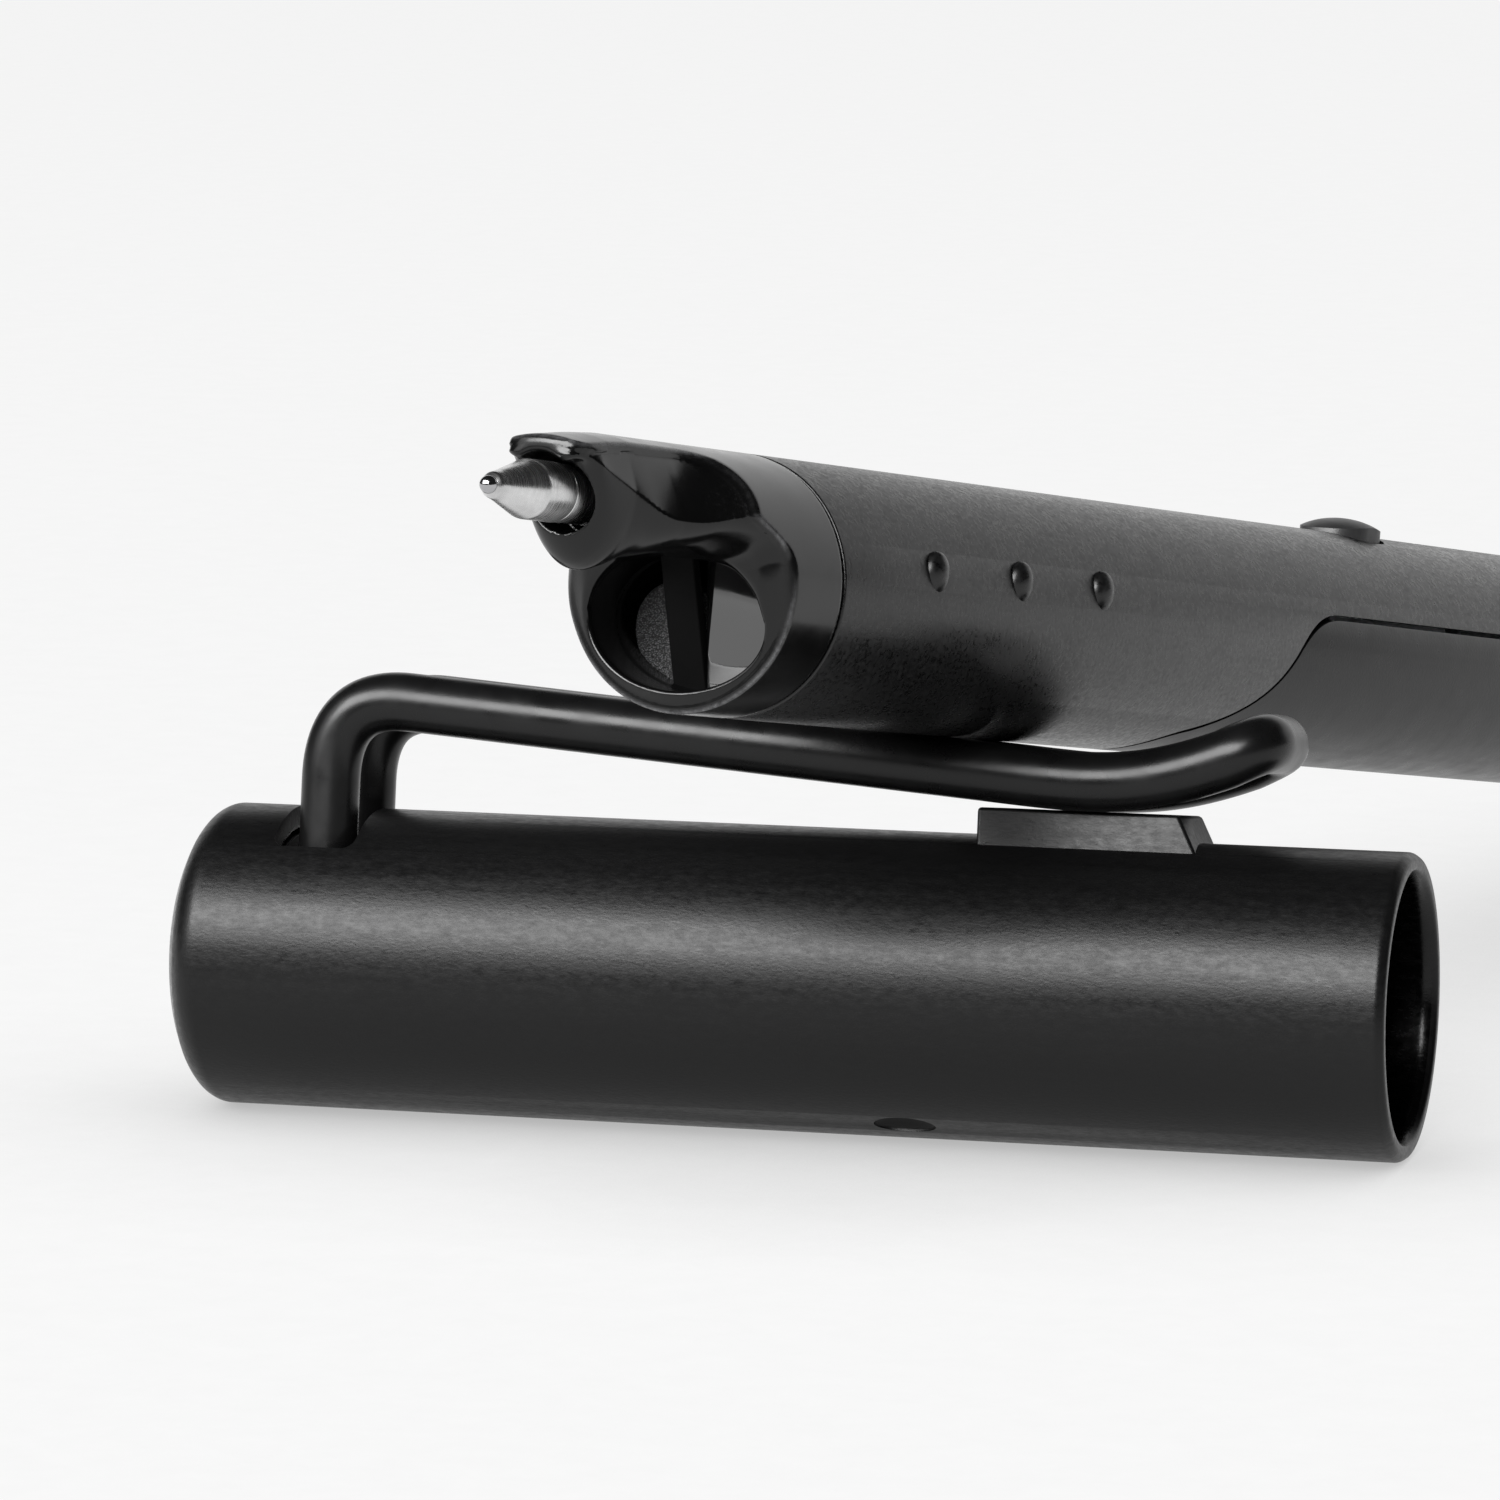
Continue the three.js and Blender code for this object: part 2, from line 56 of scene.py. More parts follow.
CAP_R = 6.3
CAP_BORE = 5.4
CAP_LENGTH = 51.9
CAP_END_WALL = 2.5
SLOT_FRONT = -43.9
SLOT_BACK = -47.4
SLOT_HALF = 4.3
PAD_BACK = -17.9
PAD_FRONT = -9.5
PAD_HALF = 2.3
PAD_TOP = 7.4
VENT_U = -20.3
VENT_ANGLE = 245             # degrees from +Y round +X
CAP_ROLL = 9.0               # degrees that the clip leans towards +Y

WIRE_R = 1.22
LEG_U = -45.5
LEG_Y = 2.5
LEG_FOOT = -2.0

PEN_R = 5.2
SHELL_BORE = 4.4
SEAM_U = 3.0
PEN_LENGTH = 120.6
TAIL_CAP = 3.2
HOOD_TIP = -11.6
REFILL_W = 2.77
REFILL_R = 1.15
REFILL_TIP = -15.2
REFILL_END = 50.6
REFILL_CONE = 2.9
COLLAR = 1.9
HOLE_R = 1.5
EYE_W = -1.5
EYE_HALF_WIDTH = 3.9
EYE_HALF_HEIGHT = 2.7
BAFFLE_TILT = 20             # degrees; the lower edge lies deeper in the pen
WINDOW_TILT = 9
BUTTON_U = 54.8
BUTTON_LENGTH = 4.6
BUTTON_WIDTH = 3.8
BUTTON_PROUD = 0.7
PIP_US = (10.55, 17.4, 24.25)
PIP_W = 1.25
COVER_TOP = 1.42
COVER_FRONT = 31.5

SHELL_START = SEAM_U + 0.2
SHELL_END = PEN_LENGTH - TAIL_CAP

# ---------------------------------------------------------------- frames of the cap and of the pen


def joint_axis(name):
    return Vector(next(j["axis"] for j in frame["joints"] if j["name"] == name)).normalized()


def cap_frame():
    """Millimetres with the mouth's centre at the origin, its axis along X, into the row frame."""
    low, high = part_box("cap_shell")
    place = Vector((high[0], (low[1] + high[1]) / 2, low[2] + CAP_R * MM))
    return Matrix.Translation(place) @ Matrix.Rotation(math.radians(-CAP_ROLL), 4, "X") @ Matrix.Scale(MM, 4)


def pen_frame():
    """Millimetres with the nose rim's centre at the origin and X towards the tail, into the row frame."""
    along = joint_axis("refill_press")
    up = -joint_axis("button_press")
    side = up.cross(along)
    tail = next(m for m in record["mounts"] if m["name"] == "tail_end")
    origin = Vector(tail["pos_m"]) - along * PEN_LENGTH * MM - up * 2.8 * MM
    turn = Matrix((along, side, up)).transposed().to_4x4()
    return Matrix.Translation(origin) @ turn @ Matrix.Scale(MM, 4)


CAP_FRAME = cap_frame()
PEN_FRAME = pen_frame()

# ---------------------------------------------------------------- mesh building


def new_object(name, bm):
    mesh = bpy.data.meshes.new(name)
    bm.to_mesh(mesh)
    bm.free()
    thing = bpy.data.objects.new(name, mesh)
    bpy.context.scene.collection.objects.link(thing)
    return thing


def fillet(points, radius, steps=5):
    """Rounds the corners of an open profile; radius is one number or one per inner corner."""
    radii = radius if isinstance(radius, (list, tuple)) else [radius] * (len(points) - 2)
    out = [points[0]]
    for before, corner, after, r in zip(points, points[1:], points[2:], radii):
        a, b, c = Vector(before), Vector(corner), Vector(after)
        reach = min(r, 0.45 * (a - b).length, 0.45 * (c - b).length)
        if reach < 1e-4:
            out.append(corner)
            continue
        start = b + (a - b).normalized() * reach
        end = b + (c - b).normalized() * reach
        for i in range(steps + 1):
            t = i / steps
            out.append(tuple(start.lerp(b, t).lerp(b.lerp(end, t), t)))
    out.append(points[-1])
    return out


def turned(name, profile, segments=160, y=0.0, z=0.0):
    """Turns [x, radius] points round the X axis; a profile off the axis closes on itself."""
    bm = bmesh.new()
    rings = []
    for x, radius in profile:
        if radius < 1e-6:
            rings.append([bm.verts.new((x, y, z))])
        else:
            turn = [2 * math.pi * k / segments for k in range(segments)]
            rings.append([bm.verts.new((x, y + radius * math.cos(a), z + radius * math.sin(a))) for a in turn])
    closed = len(rings[0]) > 1
    pairs = list(zip(rings, rings[1:]))
    if closed:
        pairs.append((rings[-1], rings[0]))
    for first, second in pairs:
        for k in range(segments):
            n = (k + 1) % segments
            if len(first) == 1:
                bm.faces.new((first[0], second[n], second[k]))
            elif len(second) == 1:
                bm.faces.new((first[k], first[n], second[0]))
            else:
                bm.faces.new((first[k], first[n], second[n], second[k]))
    bmesh.ops.recalc_face_normals(bm, faces=bm.faces)
    return new_object(name, bm)


def ring(name, x0, x1, outer, inner, edge=0.12, segments=160, y=0.0, z=0.0):
    middle = ((x0 + x1) / 2, inner)
    profile = [middle, (x0, inner), (x0, outer), (x1, outer), (x1, inner), middle]
    return turned(name, fillet(profile, edge)[:-1], segments, y, z)


def prism(name, outline, depth_from, depth_to, plane="xz"):
    """Pushes a closed outline from one depth to another, across the plane that it is drawn in."""
    def place(p, d):
        return (p[0], d, p[1]) if plane == "xz" else (p[0], p[1], d)

    bm = bmesh.new()
    low = [bm.verts.new(place(p, depth_from)) for p in outline]
    high = [bm.verts.new(place(p, depth_to)) for p in outline]
    bm.faces.new(low)
    bm.faces.new(high)
    for k in range(len(outline)):
        n = (k + 1) % len(outline)
        bm.faces.new((low[k], low[n], high[n], high[k]))
    bmesh.ops.recalc_face_normals(bm, faces=bm.faces)
    return new_object(name, bm)


def block(name, x0, x1, y0, y1, z0, z1):
    return prism(name, [(x0, z0), (x1, z0), (x1, z1), (x0, z1)], y0, y1)


def arc(cx, cy, rx, ry, start, end, steps):
    turn = [math.radians(start + (end - start) * k / steps) for k in range(steps + 1)]
    return [(cx + rx * math.cos(a), cy + ry * math.sin(a)) for a in turn]


def oval(x, length, width, steps=24):
    reach = (length - width) / 2
    right = arc(x + reach, 0, width / 2, width / 2, -90, 90, steps)
    return right + arc(x - reach, 0, width / 2, width / 2, 90, 270, steps)


def quadratic(p0, p1, p2, steps=10):
    points = []
    for k in range(steps + 1):
        t = k / steps
        points.append(tuple(Vector(p0).lerp(Vector(p1), t).lerp(Vector(p1).lerp(Vector(p2), t), t)))
    return points


def cubic(p0, p1, p2, p3, steps=14):
    points = []
    for k in range(steps + 1):
        t = k / steps
        a = Vector(p0).lerp(Vector(p1), t)
        b = Vector(p1).lerp(Vector(p2), t)
        c = Vector(p2).lerp(Vector(p3), t)
        points.append(tuple(a.lerp(b, t).lerp(b.lerp(c, t), t)))
    return points


def ellipsoid(name, centre, radii, segments=48, rings=32):
    bm = bmesh.new()
    bmesh.ops.create_uvsphere(bm, u_segments=segments, v_segments=rings, radius=1)
    bmesh.ops.scale(bm, vec=radii, verts=bm.verts)
    bmesh.ops.translate(bm, vec=centre, verts=bm.verts)
    return new_object(name, bm)


def sweep(name, path, radius, segments=28):
    """A round wire along a list of points, with closed flat ends."""
    points = [Vector(p) for p in path]
    bm = bmesh.new()
    rings = []
    normal = Vector((1, 0, 0))
    for i, point in enumerate(points):
        before = points[max(i - 1, 0)]
        after = points[min(i + 1, len(points) - 1)]
        tangent = (after - before).normalized()
        normal = (normal - tangent * normal.dot(tangent)).normalized()
        across = tangent.cross(normal)
        turn = [2 * math.pi * k / segments for k in range(segments)]
        rings.append([bm.verts.new(point + radius * (normal * math.cos(a) + across * math.sin(a))) for a in turn])
    for first, second in zip(rings, rings[1:]):
        for k in range(segments):
            n = (k + 1) % segments
            bm.faces.new((first[k], first[n], second[n], second[k]))
    bm.faces.new(rings[0])
    bm.faces.new(rings[-1])
    bmesh.ops.recalc_face_normals(bm, faces=bm.faces)
    return new_object(name, bm)


def settle(thing):
    """Replaces the mesh by what its modifiers make of it."""
    graph = bpy.context.evaluated_depsgraph_get()
    mesh = bpy.data.meshes.new_from_object(thing.evaluated_get(graph))
    old = thing.data
    thing.modifiers.clear()
    thing.data = mesh
    bpy.data.meshes.remove(old)


def combine(thing, operation, *tools):
    """Joins, cuts or intersects with each tool in turn, and uses the tools up."""
    for tool in tools:
        modifier = thing.modifiers.new("combine", "BOOLEAN")
        modifier.object = tool
        modifier.operation = operation
        modifier.solver = "EXACT"
        settle(thing)
        mesh = tool.data
        bpy.data.objects.remove(tool)
        bpy.data.meshes.remove(mesh)
    return thing


def soften(thing, width, angle=38, segments=3):
    """Rounds the sharp edges a little."""
    modifier = thing.modifiers.new("edges", "BEVEL")
    modifier.width = width
    modifier.segments = segments
    modifier.limit_method = "ANGLE"
    modifier.angle_limit = math.radians(angle)
    modifier.use_clamp_overlap = True
    modifier.miter_outer = "MITER_ARC"
    settle(thing)
    return thing


def finish(thing, place, body, material, node=None, angle=30):
    """Puts a piece built in millimetres where it belongs, hides the CAD part that it stands for, and hangs it on
    its body's empty.
    """
    mesh = thing.data
    mesh.transform(Matrix.Scale(MM, 4))
    thing.matrix_world = place @ Matrix.Scale(1 / MM, 4)
    mesh.materials.clear()
    mesh.materials.append(material)
    for face in mesh.polygons:
        face.use_smooth = True
    mesh.set_sharp_from_angle(angle=math.radians(angle))
    if node:
        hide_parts(node)
    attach(thing, body)
    return thing


# ---------------------------------------------------------------- materials


class Paint:
    """A small helper round one material's nodes."""

    def __init__(self, name):
        self.material = bpy.data.materials.new(name)
        self.material.use_nodes = True
        self.tree = self.material.node_tree
        self.tree.nodes.clear()
        self.out = self.tree.nodes.new("ShaderNodeOutputMaterial")
        self.shader = self.tree.nodes.new("ShaderNodeBsdfPrincipled")
        self.link(self.shader.outputs[0], self.out.inputs["Surface"])
        self.where = self.tree.nodes.new("ShaderNodeTexCoord").outputs["Object"]

    def link(self, a, b):
        self.tree.links.new(a, b)

    def set(self, **values):
        for key, value in values.items():
            self.shader.inputs[key.replace("_", " ")].default_value = value
        return self

    def stretched(self, x=1.0, y=1.0, z=1.0):
        node = self.tree.nodes.new("ShaderNodeMapping")
        node.inputs["Scale"].default_value = (x, y, z)
        self.link(self.where, node.inputs["Vector"])
        return node.outputs[0]

    def noise(self, scale, detail=3.0, rough=0.55, where=None):
        """Noise whose blotches are about 1 / scale metres across."""
        node = self.tree.nodes.new("ShaderNodeTexNoise")
        node.inputs["Scale"].default_value = scale
        node.inputs["Detail"].default_value = detail
        node.inputs["Roughness"].default_value = rough
        self.link(where or self.where, node.inputs["Vector"])
        return node.outputs[0]

    def cells(self, scale, where=None):
        node = self.tree.nodes.new("ShaderNodeTexVoronoi")
        node.inputs["Scale"].default_value = scale
        self.link(where or self.where, node.inputs["Vector"])
        return node.outputs["Distance"]

    def remap(self, value, low, high, to_low, to_high):
        node = self.tree.nodes.new("ShaderNodeMapRange")
        for key, number in zip(("From Min", "From Max", "To Min", "To Max"), (low, high, to_low, to_high)):
            node.inputs[key].default_value = number
        self.link(value, node.inputs["Value"])
        return node.outputs[0]

    def mix(self, factor, dark, light):
        node = self.tree.nodes.new("ShaderNodeMix")
        node.data_type = "RGBA"
        self.link(factor, node.inputs["Factor"])
        node.inputs["A"].default_value = (*dark, 1)
        node.inputs["B"].default_value = (*light, 1)
        return node.outputs["Result"]

    def math(self, operation, a, b):
        node = self.tree.nodes.new("ShaderNodeMath")
        node.operation = operation
        for socket, value in zip(node.inputs, (a, b)):
            if isinstance(value, (int, float)):
                socket.default_value = value
            else:
                self.link(value, socket)
        return node.outputs[0]

    def inside_radius(self, radius):
        """1 closer than radius (in millimetres) to the X axis, 0 further out."""
        node = self.tree.nodes.new("ShaderNodeVectorMath")
        node.operation = "LENGTH"
        self.link(self.stretched(0, 1, 1), node.inputs[0])
        return self.remap(node.outputs["Value"], (radius - 0.02) * MM, radius * MM, 1, 0)

    def color(self, value):
        self.link(value, self.shader.inputs["Base Color"])
        return self

    def rough(self, value):
        self.link(value, self.shader.inputs["Roughness"])
        return self

    def bump(self, height, distance, strength=1.0):
        node = self.tree.nodes.new("ShaderNodeBump")
        node.inputs["Distance"].default_value = distance
        node.inputs["Strength"].default_value = strength
        self.link(height, node.inputs["Height"])
        previous = self.shader.inputs["Normal"]
        if previous.is_linked:
            self.link(previous.links[0].from_socket, node.inputs["Normal"])
        self.link(node.outputs[0], previous)
        return self


def grey(value):
    return (value, value, value * 1.03)


def anodised_paint():
    """Blasted and anodised tube: a cloudy sheen drawn out along its length, and a glossy bore whose darker colour
    is painted shade.
    """
    p = Paint("anodised")
    p.set(Metallic=0.0, IOR=1.34)
    cloud = p.noise(3800, 5, 0.75, p.stretched(0.5, 1, 1))
    grain = p.noise(9000, 2, 0.5, p.stretched(0.5, 1, 1))
    drawn = p.noise(2500, 3, 0.6, p.stretched(0.03, 1, 1))
    # the bore mask paints the inside darker than the outside: painted shade in the tube; the lower roughness there
    # is the bore's own gloss
    bore = p.inside_radius(CAP_BORE + 0.12)
    p.color(p.mix(bore, grey(0.003), grey(0.0005)))
    sheen = p.math("ADD", p.remap(cloud, 0.3, 0.7, 0.0, 0.75), p.remap(drawn, 0.3, 0.7, 0.0, 0.25))
    p.rough(p.math("SUBTRACT", p.remap(sheen, 0.1, 0.9, 0.46, 0.26), p.math("MULTIPLY", bore, 0.12)))
    p.bump(grain, 0.000009, 0.7)
    p.bump(cloud, 0.000004, 0.5)
    return p.material


def wire_paint():
    """Black coated wire: a soft gloss with a slight ripple along its length."""
    p = Paint("wire")
    p.set(Metallic=0.0, IOR=1.37)
    ripple = p.noise(700, 3, 0.5)
    p.color(p.mix(ripple, grey(0.002), grey(0.005)))
    p.rough(p.remap(ripple, 0.3, 0.7, 0.24, 0.34))
    p.bump(p.noise(2600, 3, 0.55), 0.000008, 0.4)
    return p.material


def nose_paint():
    """Polished moulding: handling haze, faint fine scuffs, and a painted highlight that lightens the rim edges."""
    p = Paint("nose")
    p.set(Metallic=0.0, IOR=1.42)
    haze = p.noise(500, 5, 0.65)
    smear = p.math("MULTIPLY", p.remap(p.noise(5200, 4, 0.8), 0.55, 0.8, 0, 1), p.remap(haze, 0.5, 0.7, 0, 1))
    edge = p.tree.nodes.new("ShaderNodeAttribute")
    edge.attribute_name = "edge"
    # the edge mask, broken up by noise, lightens the colour along the rim: a painted highlight; it also roughens
    # the rim a little
    painted_edge_highlight = p.math("MULTIPLY", edge.outputs["Fac"], p.remap(p.noise(2600, 4, 0.7), 0.35, 0.6, 0.2, 1))
    smear_and_edge_highlight = p.math("MAXIMUM", p.math("MULTIPLY", smear, 0.15), painted_edge_highlight)
    p.color(p.mix(smear_and_edge_highlight, grey(0.002), grey(0.13)))
    p.rough(p.math("ADD", p.remap(haze, 0.3, 0.75, 0.15, 0.26), p.math("MULTIPLY", painted_edge_highlight, 0.15)))
    p.bump(p.noise(2600, 3, 0.6), 0.000003, 0.3)
    return p.material


def shell_paint():
    """Shell with a fine spark-eroded texture."""
    p = Paint("shell")
    p.set(Metallic=0.0, IOR=1.45)
    pebble = p.noise(5200, 2, 0.5)
    blotch = p.noise(900, 4, 0.6)
    p.color(p.mix(p.remap(pebble, 0.3, 0.7, 0, 1), grey(0.002), grey(0.007)))
    p.rough(p.math("ADD", p.remap(blotch, 0.3, 0.7, 0.21, 0.27), p.remap(pebble, 0.3, 0.7, 0.0, 0.16)))
    p.bump(pebble, 0.000009, 0.8)
    return p.material


def cover_paint():
    p = Paint("cover")
    p.set(Metallic=0.0, IOR=1.38)
    blotch = p.noise(800, 4, 0.6)
    p.color(p.mix(blotch, grey(0.003), grey(0.007)))
    p.rough(p.remap(blotch, 0.3, 0.7, 0.26, 0.36))
    p.bump(p.noise(7500, 2, 0.5), 0.000010, 0.6)
    return p.material


def plain_paint(name, dark, light, rough_low, rough_high, scale=900, metallic=0.0, depth=0.00001, ior=1.5):
    p = Paint(name)
    p.set(Metallic=metallic, IOR=ior)
    blotch = p.noise(scale, 4, 0.6)
    p.color(p.mix(blotch, dark, light))
    p.rough(p.remap(blotch, 0.3, 0.7, rough_low, rough_high))
    p.bump(p.noise(scale * 4, 3, 0.55), depth, 0.5)
    return p.material


def steel_paint():
    """Turned and drawn metal: fine rings round the axis, which runs along X."""
    p = Paint("steel")
    p.set(Metallic=1.0)
    rings = p.noise(1400, 2, 0.5, p.stretched(14, 0.15, 0.15))
    stain = p.noise(900, 4, 0.6)
    p.color(p.mix(p.remap(stain, 0.3, 0.7, 0, 1), (0.50, 0.50, 0.50), (0.74, 0.74, 0.74)))
    p.rough(p.remap(rings, 0.3, 0.7, 0.22, 0.32))
    p.bump(rings, 0.0000012, 0.5)
    return p.material


def diffuser_paint():
    p = Paint("diffuser")
    p.set(Metallic=0.0, IOR=1.5)
    # bright specks at the cell centres are painted glints in the colour; the same cells also vary roughness and
    # bump
    painted_glints = p.cells(13000)
    p.color(p.mix(p.remap(painted_glints, 0.1, 0.6, 1, 0), grey(0.006), grey(0.08)))
    p.rough(p.remap(painted_glints, 0.1, 0.6, 0.3, 0.65))
    p.bump(painted_glints, 0.00004, 0.9)
    return p.material


def window_paint():
    p = Paint("window")
    p.set(Metallic=0.0, IOR=2.1)
    haze = p.noise(600, 3, 0.5)
    p.color(p.mix(haze, grey(0.003), grey(0.006)))
    p.rough(p.remap(haze, 0.3, 0.7, 0.03, 0.08))
    return p.material


def board_paint():
    p = Paint("board")
    p.set(Metallic=0.0)
    tracks = p.noise(1100, 1, 0.3, p.stretched(0.5, 1.6, 1))
    p.color(p.mix(p.remap(tracks, 0.48, 0.52, 0, 1), (0.012, 0.06, 0.03), (0.02, 0.11, 0.055)))
    p.rough(p.remap(tracks, 0.4, 0.6, 0.35, 0.45))
    p.bump(tracks, 0.00002, 0.4)
    return p.material


PAINTS = {
    "anodised": anodised_paint(),
    "wire": wire_paint(),
    "nose": nose_paint(),
    "shell": shell_paint(),
    "cover": cover_paint(),
    "button": plain_paint("button", grey(0.012), grey(0.022), 0.38, 0.48),
    "tail": plain_paint("tail", grey(0.007), grey(0.012), 0.14, 0.22, 700, 0.0, 0.000004),
    "steel": steel_paint(),
    "carbide": plain_paint("carbide", (0.35, 0.35, 0.36), (0.5, 0.5, 0.51), 0.1, 0.18, 2500, 1.0, 0.000002),
    "inner": plain_paint("inner", grey(0.010), grey(0.02), 0.5, 0.65),
    "baffle": plain_paint("baffle", grey(0.001), grey(0.003), 0.7, 0.8, 900, 0.0, 0.00001, 1.2),
    "window": window_paint(),
    "diffuser": diffuser_paint(),
    "board": board_paint(),
    "chip": plain_paint("chip", grey(0.012), grey(0.02), 0.4, 0.5, 1500),
    "cell": plain_paint("cell", (0.42, 0.43, 0.45), (0.55, 0.56, 0.58), 0.28, 0.38, 600, 0.9),
    "silicone": plain_paint("silicone", grey(0.004), grey(0.008), 0.7, 0.85, 1200, 0.0, 0.00002),
}

for part in record["subparts"]:
    node = frame["nodes"][part["node"]]
    node.data.materials.clear()
    node.data.materials.append(PAINTS[part["material_slot"]])

# ---------------------------------------------------------------- cap


def cap_shell():
    end = -CAP_LENGTH
    outside = [(end, 0), (end, 3.4), (end + 0.35, 4.7), (end + 0.8, 5.6), (end + 1.2, 6.05)]
    outside += [(end + 1.7, CAP_R), (-0.32, CAP_R), (0, CAP_R - 0.22), (0, CAP_BORE + 0.22)]
    outside += [(-0.5, CAP_BORE), (end + CAP_END_WALL, CAP_BORE), (end + CAP_END_WALL, 0)]
    shell = turned("cap_body", fillet(outside, [1.2, 1.2, 0.8, 0.5, 0.45, 0.14, 0.14, 0.14, 0.3, 0.3], 6), 224)
    foot = CAP_R - 1.2
    pad_outline = [(PAD_BACK, foot), (PAD_BACK, PAD_TOP), (PAD_FRONT, PAD_TOP), (PAD_FRONT + 1.15, foot)]
    pad = soften(prism("pad", pad_outline, -PAD_HALF, PAD_HALF), 0.16)
    bore = turned("bore", [(end + CAP_END_WALL + 0.01, 0), (end + CAP_END_WALL + 0.01, CAP_BORE),
                           (-0.6, CAP_BORE), (-0.6, 0)], 224)
    combine(pad, "DIFFERENCE", bore)
    combine(shell, "UNION", pad)
    width = SLOT_FRONT - SLOT_BACK
    slot = prism("slot", [(p[0], p[1]) for p in slot_outline(width)], 2.2, 10, "xy")
    vent = ellipsoid("vent", (0, 0, 0), (1.3, 0.7, 0.5))
    around = math.radians(VENT_ANGLE)
    vent.data.transform(Matrix.Rotation(around - math.pi / 2, 4, "X"))
    vent.data.transform(Matrix.Translation((VENT_U, CAP_R * math.cos(around), CAP_R * math.sin(around))))
    combine(shell, "DIFFERENCE", slot, vent)
    return soften(shell, 0.12, 50)


def slot_outline(width):
    """A slot across the cap with rounded corners."""
    middle = (SLOT_FRONT + SLOT_BACK) / 2
    r = 0.5
    corners = [(width / 2, SLOT_HALF, 0), (-width / 2, SLOT_HALF, 90), (-width / 2, -SLOT_HALF, 180),
               (width / 2, -SLOT_HALF, 270)]
    points = []
    for x, y, start in corners:
        cx = middle + x - math.copysign(r, x)
        cy = y - math.copysign(r, y)
        points += arc(cx, cy, r, r, start, start + 90, 6)
    return points


finish(cap_shell(), CAP_FRAME, "cap", PAINTS["anodised"], "cap_shell")

# ---------------------------------------------------------------- clip


def clip_path():
    bend, top, dip, dip_start = 3.3, 10.75, 8.86, -17.5
    end_u, end_z, corner = -6.2, 10.45, 1.4

    def side(y):
        points = [(LEG_U, y, LEG_FOOT), (LEG_U, y, 2.0)]
        points += quadratic((LEG_U, y, top - bend), (LEG_U, y, top + 0.25), (LEG_U + bend, y, top), 24)
        points += cubic((dip_start, y, dip), (dip_start + 4.2, y, dip - 0.33),
                        (end_u - 5.2, y, end_z - 2.15), (end_u - corner, y, end_z - 0.7), 30)
        return points

    edge = LEG_Y - corner
    shoulder = end_u - corner
    near, far = side(-LEG_Y), side(LEG_Y)[::-1]
    turn = quadratic((shoulder, -LEG_Y, end_z - 0.7), (end_u, -LEG_Y, end_z), (end_u, -edge, end_z), 14)[1:]
    back = quadratic((end_u, edge, end_z), (end_u, LEG_Y, end_z), (shoulder, LEG_Y, end_z - 0.7), 14)[:-1]
    return near + turn + back + far


clip = sweep("clip_round_wire", clip_path(), WIRE_R, 36)
finish(clip, CAP_FRAME, "clip", PAINTS["wire"], "clip_wire")

# ---------------------------------------------------------------- nose


def soft_max(a, b, radius):
    """The larger of two fields, with the edge between them rounded."""
    near = np.maximum(radius - np.abs(a - b), 0) / radius
    return np.maximum(a, b) + near * near * radius / 4


def soft_min(a, b, radius):
    return -soft_max(-a, -b, radius)


def eye_field(y, w, grow):
    """Distance to the oval opening's edge, negative inside it."""
    wide, tall = EYE_HALF_WIDTH * grow, EYE_HALF_HEIGHT * grow
    reach = np.hypot(y / wide, (w - EYE_W) / tall)
    steep = np.hypot(y / wide ** 2, (w - EYE_W) / tall ** 2)
    return (reach - 1) * reach / np.maximum(steep, 1e-3)


HOOD_RADIUS = ((-12, 4.88), (-10.6, 5.0), (-9.4, 5.12), (-8, 5.2))
KEEL = ((-16, 3.9), (-10.7, 3.85), (-10.2, 3.2), (-9.8, 2.0), (-9.4, 1.0), (-8.9, 0.25), (-8.3, -0.1), (-7.6, 0.1),
        (-6.9, 0.41), (-5, 0.75), (-3.5, 0.92), (-0.8, 1.1), (9, 1.1))
CHINE = ((-16, 4.2), (-10.5, 4.2), (-9.8, 3.8), (-9, 3.5), (-7.8, 3.0), (-6.2, 2.2), (-4.5, 2.2), (-3, 2.6),
         (-1, 3.0), (9, 3.0))
LIP = 0.8                    # how far the inner edge of the face stands in front of its outer edge
EDGE_STEP = 0.1              # depth of the step that follows the outer edge of the scooped face
EDGE_LAND = 0.3              # width of the land outside it


def along(line, u, blur):
    """Height at u on a line of (u, height) points whose corners are rounded."""
    us, heights = zip(*line)
    fine = np.linspace(us[0], us[-1], 1000)
    width = int(blur / (fine[1] - fine[0])) * 2 + 1
    height = np.interp(fine, us, heights)
    height = np.convolve(np.pad(height, width // 2, mode="edge"), np.full(width, 1 / width), mode="valid")
    return np.interp(u, fine, height)


def rise(value):
    value = np.clip(value, 0, 1)
    return value * value * (3 - 2 * value)


